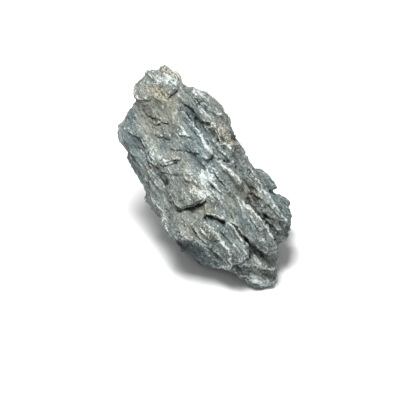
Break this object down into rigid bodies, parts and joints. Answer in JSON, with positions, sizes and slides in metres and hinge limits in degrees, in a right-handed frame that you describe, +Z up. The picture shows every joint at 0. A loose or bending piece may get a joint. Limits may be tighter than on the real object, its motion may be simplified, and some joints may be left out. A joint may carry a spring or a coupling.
{
  "type": "seiryu stone",
  "caption": "Layered grey limestone for an aquascape, leaning back on a small flat base, with diagonal ridges, ledges and hollows.",
  "frame": {"origin": "middle of the flat base, on the base plane", "axes": "+Z up, -Y towards the viewer of the ridged front, which leans back; +X to the viewer's right"},
  "size_m": [0.1388, 0.1514, 0.1503],
  "materials": {
    "limestone": "rough, weathered grey limestone with white calcite on its crests and brown stains"
  },
  "bodies": {
    "root": {"seiryu_stone": "limestone"}
  },
  "joints": []
}
